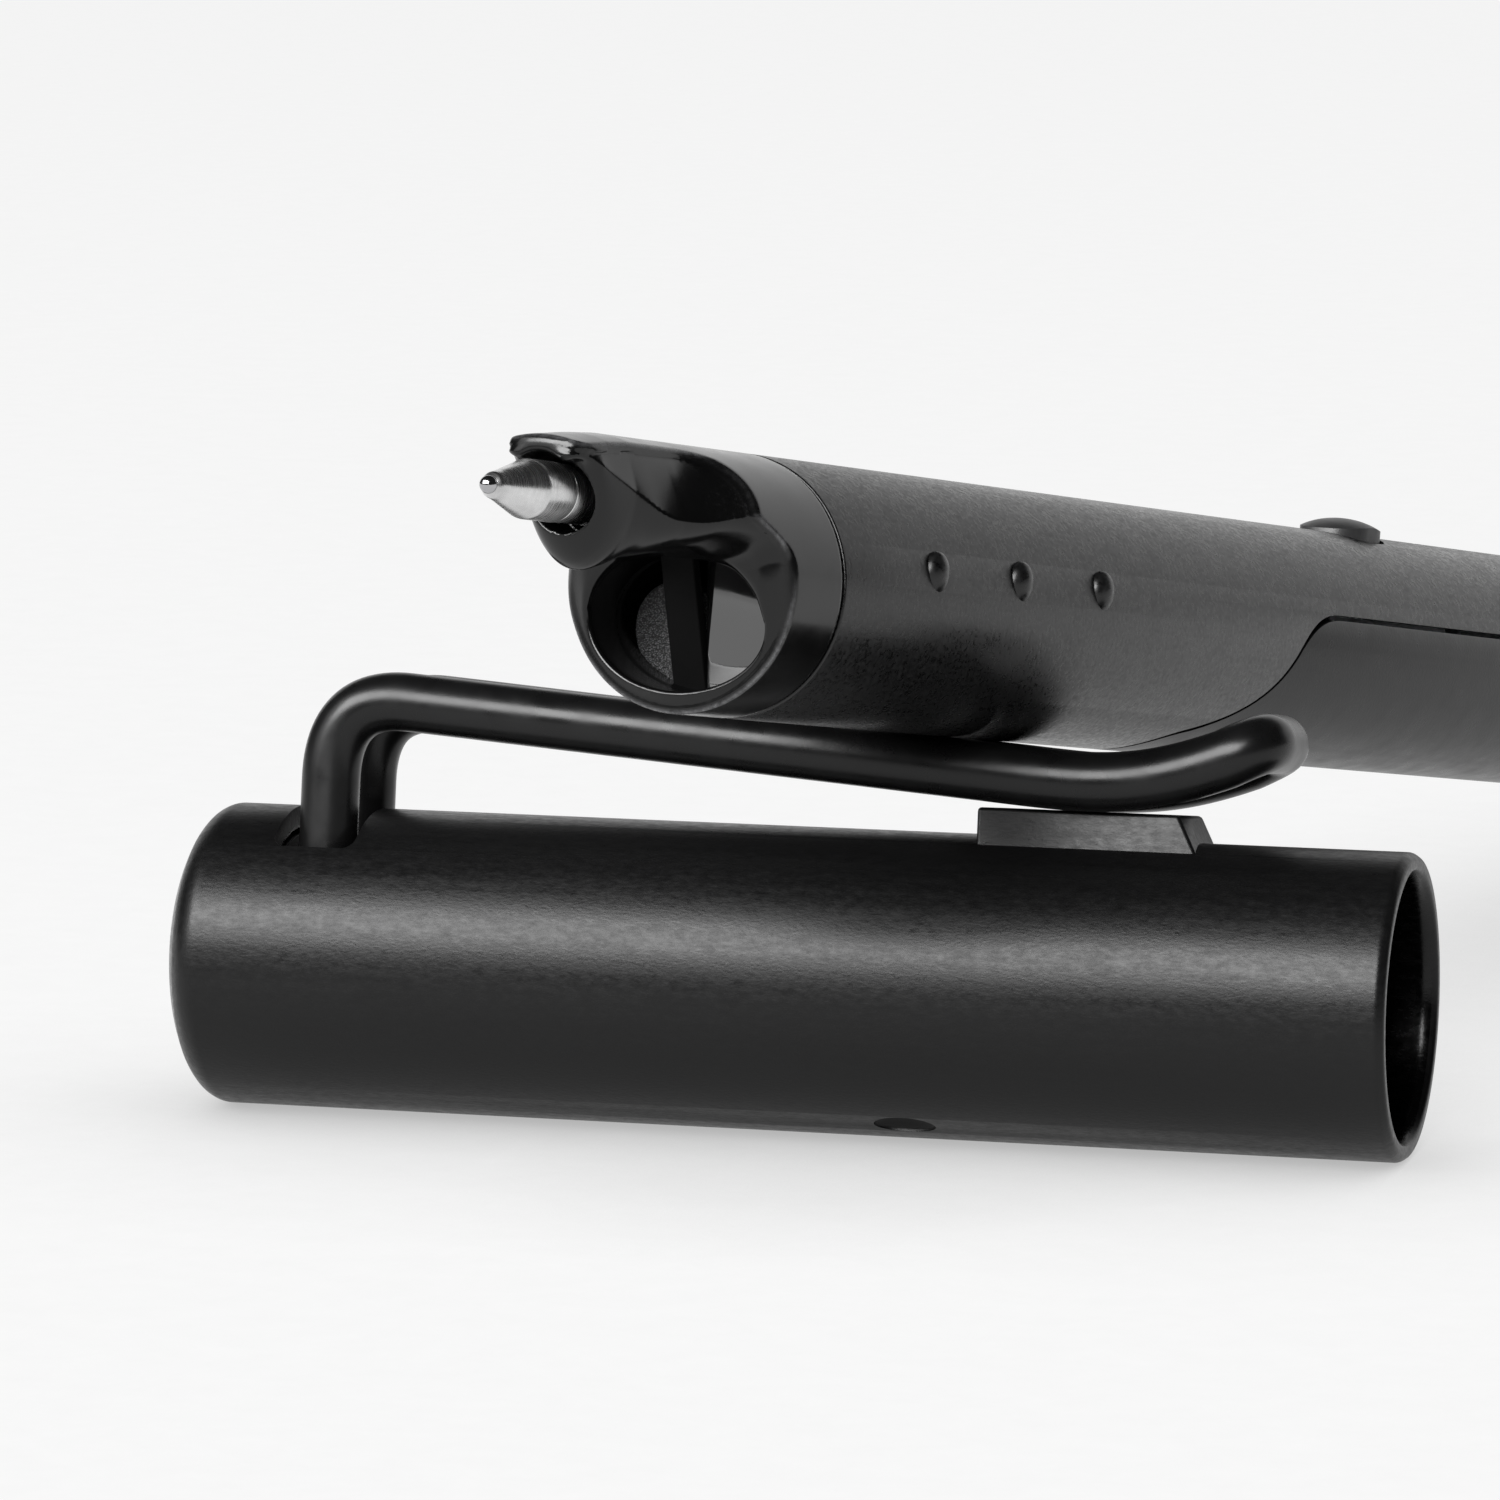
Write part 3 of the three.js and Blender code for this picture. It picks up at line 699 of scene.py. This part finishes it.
def nose_field(u, y, w):
    """The nose moulding: a band with a domed face, and a hull-shaped hood over the refill."""
    away = np.abs(y)
    out = np.hypot(y, w)
    skin = np.interp(u, *zip(*HOOD_RADIUS))
    step = EDGE_STEP * np.clip((skin - EDGE_LAND - out) / 0.12 + 0.5, 0, 1)
    run = np.clip((u + 5) / 5, 0, 1)
    tip = np.clip((-10.0 - u) / 1.75, 0, 1)
    ridge = (1.75 + 3.2 * (1 - np.sqrt(1 - run * run))) * (1 - tip ** 4) ** 0.5
    spread = np.maximum(5.25 + 0.41 * u, 0)
    base = np.hypot(spread, 1) * 0.62 + 0.38 * np.maximum(spread, 2.0)
    base += 0.55 * (1 - tip) * np.maximum(0, 1 - spread / 3)
    chine = along(CHINE, u, 0.7)
    keel = along(KEEL, u, 0.25)
    climb = np.clip((w - chine) / (4.65 - chine), 0, 1)
    width = np.maximum(base + (ridge - base) * climb - step, 0.01)
    deep = np.maximum(chine - w, 0) / (chine - keel)
    hull = (np.hypot(away / width, deep) - 1) * width * 0.7
    shoulder = (-u - np.minimum((5.25 - away) / 0.41, 1.0) * rise((w + 2.6) / 4.4)) * 0.5
    face = -u - LIP * rise((PEN_R - out) / 1.35) + step
    tunnel = -eye_field(y, w, 1)
    front = soft_max(soft_min(shoulder, face, 1.5), np.minimum(tunnel, 1.2 - u), 0.4)
    solid = soft_max(soft_min(hull, front, 1.5), out - skin, 0.12)
    solid = soft_max(soft_max(solid, HOOD_TIP - u, 0.35), u - SEAM_U, 0.1)
    spigot = np.maximum(out - SHELL_BORE + 0.3, u - 5.0)
    solid = np.minimum(solid, np.maximum(spigot, 2 - u))
    solid = soft_max(solid, -np.maximum(eye_field(y, w, 1), -0.6 - u), 0.3)
    hole = np.hypot(y, w - REFILL_W)
    solid = soft_max(solid, -np.maximum(hole - HOLE_R, u + 7.5), 0.14)
    return np.maximum(solid, REFILL_R + 0.17 - hole)


def moulded(name, low, high, pitch, field):
    """Skins the zero level of a field of millimetres; the field is negative inside the solid."""
    axes = [np.arange(a, b + pitch, pitch) for a, b in zip(low, high)]
    value = field(*np.meshgrid(*axes, indexing="ij"))
    cells = tuple(n - 1 for n in value.shape)
    total = np.zeros((*cells, 3))
    count = np.zeros(cells)
    crossings = []
    for axis in range(3):
        first = np.take(value, range(cells[axis]), axis)
        second = np.take(value, range(1, cells[axis] + 1), axis)
        hit = (first < 0) != (second < 0)
        along = np.where(hit, first / np.where(hit, first - second, 1), 0)
        crossings.append((hit, first < 0))
        others = [k for k in range(3) if k != axis]
        for i in (0, 1):
            for j in (0, 1):
                pick = [slice(None)] * 3
                pick[others[0]] = slice(i, i + cells[others[0]])
                pick[others[1]] = slice(j, j + cells[others[1]])
                here = hit[tuple(pick)]
                total[..., axis] += along[tuple(pick)] * here
                total[..., others[0]] += i * here
                total[..., others[1]] += j * here
                count += here
    used = count > 0
    index = np.full(cells, -1)
    index[used] = np.arange(used.sum())
    places = np.argwhere(used) + total[used] / count[used][:, None]
    points = np.array([a[0] for a in axes]) + places * pitch
    points = onto_surface(points, pitch, field)
    faces = []
    for axis, (hit, inward) in enumerate(crossings):
        others = [k for k in range(3) if k != axis]
        inner = [slice(None)] * 3
        for k in others:
            inner[k] = slice(1, cells[k])
        spots = np.argwhere(hit[tuple(inner)])
        flips = inward[tuple(inner)][tuple(spots.T)] != (axis == 1)
        spots[:, others[0]] += 1
        spots[:, others[1]] += 1
        corner = []
        for i, j in ((1, 1), (0, 1), (0, 0), (1, 0)):
            at = spots.copy()
            at[:, others[0]] -= i
            at[:, others[1]] -= j
            corner.append(index[tuple(at.T)])
        quads = np.stack(corner, 1)
        quads[~flips] = quads[~flips][:, ::-1]
        faces.append(quads)
    mesh = bpy.data.meshes.new(name)
    mesh.from_pydata(points.tolist(), [], np.concatenate(faces).tolist())
    thing = bpy.data.objects.new(name, mesh)
    bpy.context.scene.collection.objects.link(thing)
    return thing


def onto_surface(points, pitch, field):
    """Moves points that are close to the zero level onto it, along the field's slope."""
    nudge = pitch * 0.2
    for _ in range(4):
        value = field(*points.T)
        slope = np.stack([(field(*(points + nudge * axis).T) - field(*(points - nudge * axis).T)) / (2 * nudge)
                          for axis in np.eye(3)], 1)
        move = value / np.maximum((slope ** 2).sum(1), 0.1)
        points = points - slope * np.clip(move, -pitch * 0.3, pitch * 0.3)[:, None]
    return points


NOSE_PITCH = 0.09


def mark_edges(thing):
    """Stores how close each point of the nose is to the edge between its face and its outer skin, where the nose's
    painted edge highlight goes.
    """
    points = np.empty(len(thing.data.vertices) * 3)
    thing.data.vertices.foreach_get("co", points)
    u, y, w = points.reshape(-1, 3).T
    rim = np.hypot(y, w) - np.interp(u, *zip(*HOOD_RADIUS))
    inside = nose_field(u, y * 0.97, w * 0.97)
    mark = np.exp(-(rim / 0.09) ** 2) * np.clip((inside + 0.13) / 0.1, 0, 1) * (u < 0.3)
    thing.data.attributes.new("edge", "FLOAT", "POINT").data.foreach_set("value", mark.astype(np.float32))


nose = moulded("nose_moulding", (HOOD_TIP - 0.4, -PEN_R - 0.2, -PEN_R - 0.2), (5.2, PEN_R + 0.2, PEN_R + 0.2),
               NOSE_PITCH, nose_field)
mark_edges(nose)
finish(nose, PEN_FRAME, "pen", PAINTS["nose"], "nose_cone", 60)

# ---------------------------------------------------------------- optics behind the opening


def tilted(thing, u, w, tilt):
    thing.data.transform(Matrix.Translation((u, 0, w)) @ Matrix.Rotation(math.radians(-tilt), 4, "Y"))
    return thing


baffle = tilted(soften(block("baffle_bar", -0.25, 0.25, 0.0, 1.5, -3.0, 2.75), 0.08), 1.3, EYE_W, BAFFLE_TILT)
finish(baffle, PEN_FRAME, "pen", PAINTS["baffle"], "light_baffle")
# the disc's bright specks are painted glints
disc = turned("glitter_disc", fillet([(0.4, 0), (0.4, 2.05), (0.9, 2.05), (0.9, 0)], 0.1), 96, 1.55, -0.6)
disc = tilted(disc, 1.7, EYE_W, BAFFLE_TILT / 2)
finish(disc, PEN_FRAME, "pen", PAINTS["diffuser"], "diffuser_disc")
glass = block("filter_window", 0.0, 0.6, -4.4, -0.05, -3.2, 3.2)
rim = turned("filter_rim", [(-1, 0), (-1, 1), (2, 1), (2, 0)], 96)
rim.data.transform(Matrix.Diagonal((1, EYE_HALF_WIDTH + 0.2, EYE_HALF_HEIGHT + 0.2, 1)))
glass = tilted(soften(combine(glass, "INTERSECT", rim), 0.1), 1.5, EYE_W, WINDOW_TILT)
finish(glass, PEN_FRAME, "pen", PAINTS["window"], "camera_window")

# ---------------------------------------------------------------- shells


def cover_outline(shrink):
    top = COVER_TOP - shrink
    end = SHELL_END - 4 - shrink
    front = COVER_FRONT + shrink
    knee = (36 + shrink, -4.0 - shrink / 2)
    hip = (42 + shrink, -0.2)
    points = quadratic((front, -7), (33.6 + shrink, -4.6), knee)
    points += cubic(knee, (39.6 + shrink, -3.0), (40.6 + shrink, -1.8), hip)[1:]
    points += quadratic(hip, (43.4 + shrink, top), (45.6 + shrink, top))[1:]
    return points + [(end, top), (end, -7)]


def shell_tube(name):
    return ring(name, SHELL_START, SHELL_END, PEN_R, SHELL_BORE, 0.1, 200)


def upper_shell():
    shell = shell_tube("grip_shell")
    combine(shell, "DIFFERENCE",
            prism("cover_room", cover_outline(0), -8, 8),
            prism("button_hole", oval(BUTTON_U, BUTTON_LENGTH - 0.2, BUTTON_WIDTH - 0.2), 0, 8, "xy"),
            prism("light_hole", arc(61.5, 0, 0.6, 0.6, 0, 345, 23), 2, 8, "xy"))
    soften(shell, 0.14, 50)
    for side in (-1, 1):
        for u in PIP_US:
            pip = ellipsoid("pip", (u, side * (PEN_R - 0.27), PIP_W), (0.74, 0.5, 0.86), 40, 24)
            combine(shell, "UNION", pip)
    return shell


finish(upper_shell(), PEN_FRAME, "pen", PAINTS["shell"], "upper_shell")

cover = shell_tube("smooth_cover")
combine(cover, "INTERSECT", prism("cover_region", cover_outline(0.22), -8, 8))
finish(soften(cover, 0.14, 50), PEN_FRAME, "pen", PAINTS["cover"], "lower_cover")


def tail_cap():
    start = SHELL_END + 0.15
    body = turned("tail_plug", fillet([
        (start - 6, 0), (start - 6, SHELL_BORE - 0.3), (start, SHELL_BORE - 0.3), (start, PEN_R),
        (PEN_LENGTH - 0.9, PEN_R), (PEN_LENGTH - 0.25, PEN_R - 0.3), (PEN_LENGTH, PEN_R - 0.9),
        (PEN_LENGTH, 0)],
        [0.2, 0.1, 0.12, 0.5, 0.3, 0.3], 5), 200)
    combine(body, "DIFFERENCE", block("socket_room", start - 7, PEN_LENGTH + 1, -3.3, 3.3, -1.1, 1.1))
    return soften(body, 0.1, 50)


finish(tail_cap(), PEN_FRAME, "pen", PAINTS["tail"], "tail_cap")

# ---------------------------------------------------------------- button


def power_button():
    stem = prism("button_dome", oval(BUTTON_U, BUTTON_LENGTH - 0.6, BUTTON_WIDTH - 0.6, 40), 4.1, 6.4, "xy")
    dome = ellipsoid("dome", (BUTTON_U, 0, PEN_R + BUTTON_PROUD - 1.9),
                     (BUTTON_LENGTH * 0.62, BUTTON_WIDTH * 0.72, 1.9), 96, 64)
    combine(stem, "INTERSECT", dome)
    return soften(stem, 0.15, 35)


finish(power_button(), PEN_FRAME, "button", PAINTS["button"], "power_button")

# ---------------------------------------------------------------- refill

CONE_END = REFILL_TIP + REFILL_CONE

tip_profile = [
    (REFILL_TIP + 0.92, 0), (REFILL_TIP + 0.92, 0.2), (REFILL_TIP + 0.38, 0.3), (REFILL_TIP + 0.55, 0.5),
    (REFILL_TIP + 0.95, 0.58), (CONE_END, REFILL_R), (CONE_END + COLLAR, REFILL_R),
    (CONE_END + COLLAR, 0.6), (CONE_END + 5, 0.6), (CONE_END + 5, 0)]
tip_radii = [0.02, 0.03, 0.1, 0.12, 0.1, 0.05, 0.05, 0.05]
tip = turned("writing_tip", fillet(tip_profile, tip_radii, 4), 96, 0, REFILL_W)
finish(tip, PEN_FRAME, "refill", PAINTS["steel"], "refill_tip", 50)
ball = ellipsoid("writing_ball", (REFILL_TIP + 0.35, 0, REFILL_W), (0.35, 0.35, 0.35), 40, 28)
finish(ball, PEN_FRAME, "refill", PAINTS["carbide"], "refill_ball")
tube = ring("ink_tube", CONE_END + COLLAR + 0.05, REFILL_END, REFILL_R - 0.03, 0.8, 0.06, 96, 0, REFILL_W)
finish(tube, PEN_FRAME, "refill", PAINTS["steel"], "refill_tube")

# ---------------------------------------------------------------- stage, light and camera

FLOOR_GLOW = 0.88
BACKDROP_GLOW = 0.93
SHADOW_REACH = 0.022         # metres


def floor_paint():
    """Lit white paper with soft shadows close to what stands on it."""
    p = Paint("table")
    tooth = p.noise(420, 6, 0.75)
    p.color(p.mix(tooth, (0.03, 0.03, 0.03), (0.05, 0.05, 0.05)))
    shade = p.tree.nodes.new("ShaderNodeAmbientOcclusion")
    shade.samples = 8
    shade.inputs["Distance"].default_value = SHADOW_REACH
    open_sky = p.math("POWER", shade.outputs["AO"], 1.0)
    glow = p.mix(open_sky, (0.52, 0.52, 0.52), (1, 1, 1))
    p.link(glow, p.shader.inputs["Emission Color"])
    strength = p.remap(tooth, 0.3, 0.7, FLOOR_GLOW * 0.994, FLOOR_GLOW * 1.006)
    p.link(strength, p.shader.inputs["Emission Strength"])
    p.set(Roughness=0.95)
    p.shader.inputs["Specular IOR Level"].default_value = 0.0
    return p.material


def backdrop_paint():
    p = Paint("backdrop")
    mottle = p.noise(3, 3, 0.5)
    p.color(p.mix(mottle, (0.01, 0.01, 0.01), (0.02, 0.02, 0.02)))
    p.set(Roughness=1.0, Emission_Strength=BACKDROP_GLOW)
    p.shader.inputs["Emission Color"].default_value = (1, 1, 1, 1)
    return p.material


bm = bmesh.new()
bmesh.ops.create_grid(bm, x_segments=8, y_segments=8, size=4.0)
table = new_object("table", bm)
table.data.materials.append(floor_paint())

backdrop = prism("backdrop", [(-3.9, 0.002), (3.9, 0.002), (3.9, 2.1), (-3.9, 2.1)], 3.2, 3.25)
backdrop.data.materials.append(backdrop_paint())


def aim(thing, target):
    thing.rotation_euler = (Vector(target) - thing.location).to_track_quat("-Z", "Y").to_euler()


def softbox(name, azimuth, elevation, distance, size, watts):
    """A soft rectangular light; azimuth 0 stands it on the near side, positive to the left."""
    light = bpy.data.lights.new(name, "AREA")
    light.shape = "RECTANGLE"
    light.size, light.size_y = size
    light.energy = watts
    lamp = bpy.data.objects.new(name, light)
    bpy.context.scene.collection.objects.link(lamp)
    a, e = math.radians(azimuth), math.radians(elevation)
    level = distance * math.cos(e)
    lamp.location = (-level * math.sin(a), -level * math.cos(a), distance * math.sin(e))
    aim(lamp, (0, 0, 0.01))
    return lamp


softbox("window", 20, 34, 1.1, (1.2, 0.5), 30.0)
softbox("left_panel", 58, 27, 1.3, (0.7, 0.9), 3.5)

world = bpy.data.worlds.new("studio")
bpy.context.scene.world = world
world.use_nodes = True
world.node_tree.nodes["Background"].inputs["Color"].default_value = (1, 1, 1, 1)
world.node_tree.nodes["Background"].inputs["Strength"].default_value = 0.02

# the camera stands in front of the cap's mouth, a little above the pen, and looks slightly down
CAMERA_FROM_MOUTH = Vector((63.94, -337.2, 68.18)) * MM
VIEW_DOWN = 8.53             # degrees below the horizon
VIEW_TURN = 15.22            # degrees to the left of +Y
LENS = 206.0

low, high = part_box("cap_shell")
mouth = Vector((high[0], (low[1] + high[1]) / 2, low[2]))
camera = bpy.data.objects.new("camera", bpy.data.cameras.new("camera"))
bpy.context.scene.collection.objects.link(camera)
camera.data.sensor_width = 36
camera.data.lens = LENS
camera.data.clip_start = 0.01
camera.location = mouth + CAMERA_FROM_MOUTH
camera.rotation_euler = (math.radians(90 - VIEW_DOWN), 0, math.radians(VIEW_TURN))
bpy.context.scene.camera = camera
bpy.context.scene.view_settings.view_transform = "Standard"
